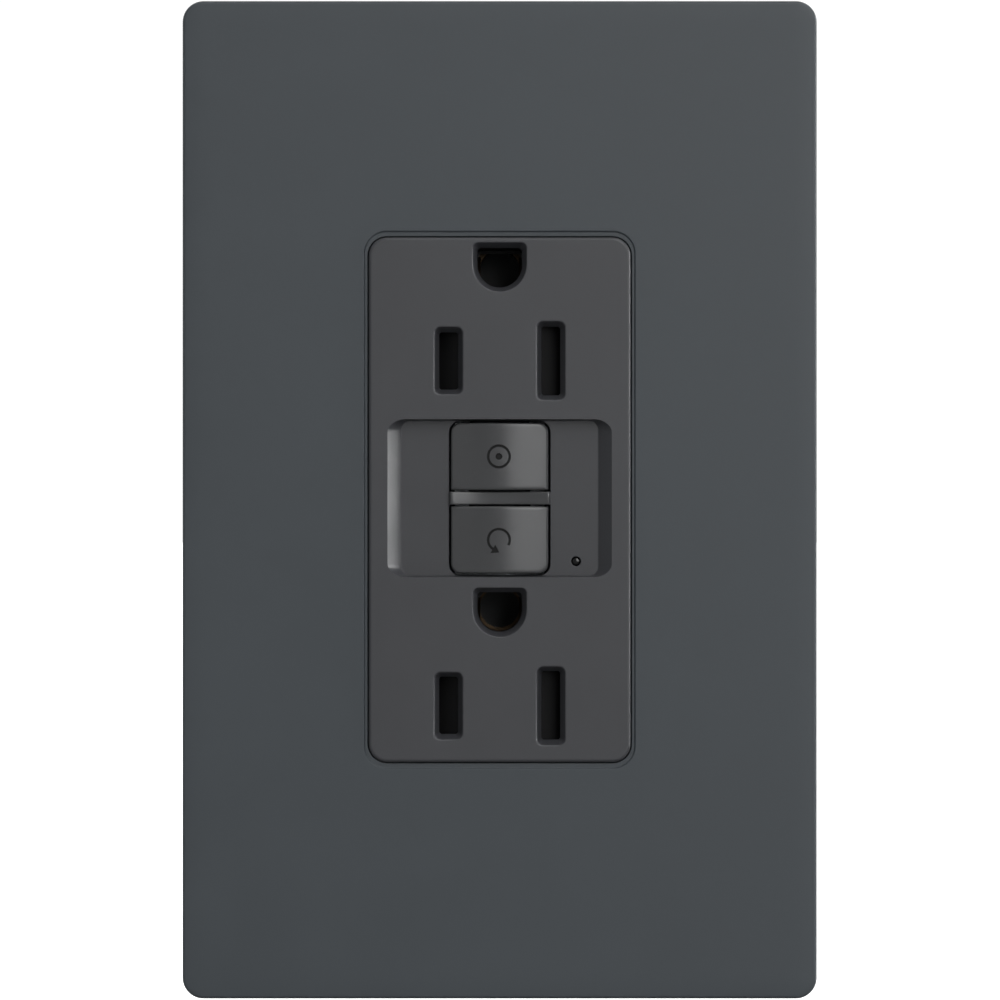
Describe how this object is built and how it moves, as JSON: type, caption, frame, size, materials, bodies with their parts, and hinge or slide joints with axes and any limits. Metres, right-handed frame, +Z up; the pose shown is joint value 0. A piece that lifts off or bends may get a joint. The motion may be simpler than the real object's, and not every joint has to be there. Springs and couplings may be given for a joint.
{
  "type": "gfci duplex receptacle with screwless wall plate",
  "caption": "Ground-fault duplex receptacle in charcoal plastic with test and reset buttons, sliding shutters, strap, side terminals and a clip-on wall plate.",
  "frame": {"origin": "centre of the overall box; the finished wall is the plane 11.25 mm in front of it, y = -0.01125", "axes": "+X to the right seen from the room, +Z up, -Y out of the wall towards the room"},
  "size_m": [0.0786, 0.0356, 0.1238],
  "materials": {
    "wall_plate": "fine satin moulded charcoal",
    "device_face": "fine satin moulded charcoal",
    "button": "smoother moulded charcoal",
    "shutter": "dark moulded thermoplastic",
    "housing": "black moulded thermoplastic",
    "separator": "grey moulded thermoplastic",
    "sub_plate": "moulded charcoal thermoplastic",
    "zinc": "zinc-plated stamped steel",
    "painted_screw": "charcoal enamel on steel",
    "steel": "bright steel",
    "brass": "stamped brass",
    "nickel": "nickel-plated brass",
    "green_screw": "green-dyed plated steel",
    "fibre": "pressed fibre sheet",
    "copper": "copper",
    "ferrite": "coated toroid core",
    "nylon": "natural nylon",
    "board": "soldered glass-epoxy board",
    "lens": "clear light pipe",
    "led": "moulded indicator"
  },
  "bodies": {
    "receptacle": {"wall_plate": "wall_plate", "sub_plate": "sub_plate", "sub_plate_screw_upper": "painted_screw", "sub_plate_screw_lower": "painted_screw", "front_cover": "device_face", "reset_spring": "steel", "light_pipe": "lens", "indicator_led": "led", "mounting_strap": "zinc", "screw_retainer_upper": "fibre", "screw_retainer_lower": "fibre", "ground_contact_upper": "brass", "ground_contact_lower": "brass", "face_hot_contacts": "brass", "face_neutral_contacts": "nickel", "shutter_spring_upper": "steel", "shutter_spring_lower": "steel", "shutter_retainer": "nylon", "middle_housing": "separator", "rear_housing": "housing", "housing_screw_upper_left": "steel", "housing_screw_upper_right": "steel", "housing_screw_lower_left": "steel", "housing_screw_lower_right": "steel", "line_hot_terminal": "brass", "load_hot_terminal": "brass", "line_neutral_terminal": "nickel", "load_neutral_terminal": "nickel", "solenoid_bobbin": "nylon", "solenoid_coil": "copper", "plunger_spring": "steel", "transformer_cup": "nylon", "sense_transformer": "ferrite", "neutral_transformer": "ferrite", "circuit_board": "board"},
    "test_button_body": {"test_button": "button"},
    "test_contact_body": {"test_contact_arm": "copper"},
    "reset_button_body": {"reset_button": "button", "reset_pin": "steel"},
    "hot_shutter_upper_body": {"hot_shutter_upper": "shutter"},
    "neutral_shutter_upper_body": {"neutral_shutter_upper": "shutter"},
    "hot_shutter_lower_body": {"hot_shutter_lower": "shutter"},
    "neutral_shutter_lower_body": {"neutral_shutter_lower": "shutter"},
    "plunger_body": {"solenoid_plunger": "steel"},
    "latch_block_body": {"latch_block": "nylon"},
    "latch_plate_body": {"latch_plate": "steel"},
    "hot_arm_body": {"line_hot_arm": "copper"},
    "neutral_arm_body": {"line_neutral_arm": "copper"},
    "line_hot_clamp_body": {"line_hot_clamp": "zinc"},
    "line_hot_screw_body": {"line_hot_screw": "brass"},
    "line_neutral_clamp_body": {"line_neutral_clamp": "zinc"},
    "line_neutral_screw_body": {"line_neutral_screw": "nickel"},
    "load_hot_clamp_body": {"load_hot_clamp": "zinc"},
    "load_hot_screw_body": {"load_hot_screw": "brass"},
    "load_neutral_clamp_body": {"load_neutral_clamp": "zinc"},
    "load_neutral_screw_body": {"load_neutral_screw": "nickel"},
    "ground_clamp_body": {"ground_clamp": "zinc"},
    "ground_screw_body": {"ground_screw": "green_screw"},
    "mounting_screw_upper_body": {"mounting_screw_upper": "zinc"},
    "mounting_screw_lower_body": {"mounting_screw_lower": "zinc"}
  },
  "joints": [
    {"name": "reset_press", "type": "slide", "parent": "receptacle", "child": "reset_button_body", "axis": [0, 1, 0], "range_m": [0, 0.0016], "deforming": ["reset_spring"]},
    {"name": "test_press", "type": "slide", "parent": "receptacle", "child": "test_button_body", "axis": [0, 1, 0], "range_m": [0, 0.0009]},
    {"name": "test_contact_flex", "type": "hinge", "parent": "receptacle", "child": "test_contact_body", "pos_m": [0, -0.0062, 0.00885], "axis": [1, 0, 0], "range_deg": [0, 13.6]},
    {"name": "shutters_upper", "type": "slide", "parent": "receptacle", "child": "hot_shutter_upper_body", "axis": [1, 0, 0], "range_m": [0, 0.0028], "deforming": ["shutter_spring_upper"]},
    {"name": "neutral_shutter_upper_slide", "type": "slide", "parent": "receptacle", "child": "neutral_shutter_upper_body", "axis": [-1, 0, 0], "range_m": [0, 0.0028]},
    {"name": "shutters_lower", "type": "slide", "parent": "receptacle", "child": "hot_shutter_lower_body", "axis": [1, 0, 0], "range_m": [0, 0.0028], "deforming": ["shutter_spring_lower"]},
    {"name": "neutral_shutter_lower_slide", "type": "slide", "parent": "receptacle", "child": "neutral_shutter_lower_body", "axis": [-1, 0, 0], "range_m": [0, 0.0028]},
    {"name": "trip", "type": "slide", "parent": "receptacle", "child": "plunger_body", "axis": [0, 0, 1], "range_m": [0, 0.0018], "deforming": ["plunger_spring"]},
    {"name": "latch_block_drop", "type": "slide", "parent": "receptacle", "child": "latch_block_body", "axis": [0, 1, 0], "range_m": [0, 0.0012]},
    {"name": "latch_plate_slide", "type": "slide", "parent": "latch_block_body", "child": "latch_plate_body", "axis": [0, 0, 1], "range_m": [0, 0.0018]},
    {"name": "hot_arm_open", "type": "hinge", "parent": "receptacle", "child": "hot_arm_body", "pos_m": [-0.008, 0.0044, 0.0148], "axis": [1, 0, 0], "range_deg": [0, 3.62]},
    {"name": "neutral_arm_open", "type": "hinge", "parent": "receptacle", "child": "neutral_arm_body", "pos_m": [0.008, 0.0044, 0.0148], "axis": [1, 0, 0], "range_deg": [0, 3.62]},
    {"name": "line_hot_clamp_slide", "type": "slide", "parent": "receptacle", "child": "line_hot_clamp_body", "axis": [-1, 0, 0], "range_m": [0, 0.00238]},
    {"name": "line_hot_screw_turn", "type": "hinge", "parent": "line_hot_clamp_body", "child": "line_hot_screw_body", "pos_m": [-0.0192, 0.00335, 0.023], "axis": [1, 0, 0], "range_deg": [0, 1080.5]},
    {"name": "line_neutral_clamp_slide", "type": "slide", "parent": "receptacle", "child": "line_neutral_clamp_body", "axis": [1, 0, 0], "range_m": [0, 0.00238]},
    {"name": "line_neutral_screw_turn", "type": "hinge", "parent": "line_neutral_clamp_body", "child": "line_neutral_screw_body", "pos_m": [0.0192, 0.00335, 0.023], "axis": [-1, 0, 0], "range_deg": [0, 1080.5]},
    {"name": "load_hot_clamp_slide", "type": "slide", "parent": "receptacle", "child": "load_hot_clamp_body", "axis": [-1, 0, 0], "range_m": [0, 0.00238]},
    {"name": "load_hot_screw_turn", "type": "hinge", "parent": "load_hot_clamp_body", "child": "load_hot_screw_body", "pos_m": [-0.0192, 0.00335, -0.023], "axis": [1, 0, 0], "range_deg": [0, 1080.5]},
    {"name": "load_neutral_clamp_slide", "type": "slide", "parent": "receptacle", "child": "load_neutral_clamp_body", "axis": [1, 0, 0], "range_m": [0, 0.00238]},
    {"name": "load_neutral_screw_turn", "type": "hinge", "parent": "load_neutral_clamp_body", "child": "load_neutral_screw_body", "pos_m": [0.0192, 0.00335, -0.023], "axis": [-1, 0, 0], "range_deg": [0, 1080.5]},
    {"name": "ground_clamp_slide", "type": "slide", "parent": "receptacle", "child": "ground_clamp_body", "axis": [0, 0, -1], "range_m": [0, 0.00238]},
    {"name": "ground_screw_turn", "type": "hinge", "parent": "ground_clamp_body", "child": "ground_screw_body", "pos_m": [0.0124, 0.00135, -0.0371], "axis": [0, 0, 1], "range_deg": [0, 1080.5]},
    {"name": "mounting_screw_upper_turn", "type": "hinge", "parent": "receptacle", "child": "mounting_screw_upper_body", "pos_m": [0, -0.01325, 0.04165], "axis": [0, 1, 0], "continuous": true},
    {"name": "mounting_screw_lower_turn", "type": "hinge", "parent": "receptacle", "child": "mounting_screw_lower_body", "pos_m": [0, -0.01325, -0.04165], "axis": [0, 1, 0], "continuous": true}
  ],
  "couplings": [
    {"joint": "test_contact_flex", "follows": "test_press", "rad_per_m": 263},
    {"joint": "neutral_shutter_upper_slide", "follows": "shutters_upper", "ratio": 1},
    {"joint": "neutral_shutter_lower_slide", "follows": "shutters_lower", "ratio": 1},
    {"joint": "latch_block_drop", "follows": "trip", "ratio": 0.6666},
    {"joint": "latch_plate_slide", "follows": "trip", "ratio": 1},
    {"joint": "hot_arm_open", "follows": "trip", "rad_per_m": 35},
    {"joint": "neutral_arm_open", "follows": "trip", "rad_per_m": 35},
    {"joint": "line_hot_screw_turn", "follows": "line_hot_clamp_slide", "rad_per_m": 7913.3},
    {"joint": "line_neutral_screw_turn", "follows": "line_neutral_clamp_slide", "rad_per_m": 7913.3},
    {"joint": "load_hot_screw_turn", "follows": "load_hot_clamp_slide", "rad_per_m": 7913.3},
    {"joint": "load_neutral_screw_turn", "follows": "load_neutral_clamp_slide", "rad_per_m": 7913.3},
    {"joint": "ground_screw_turn", "follows": "ground_clamp_slide", "rad_per_m": 7913.3}
  ]
}
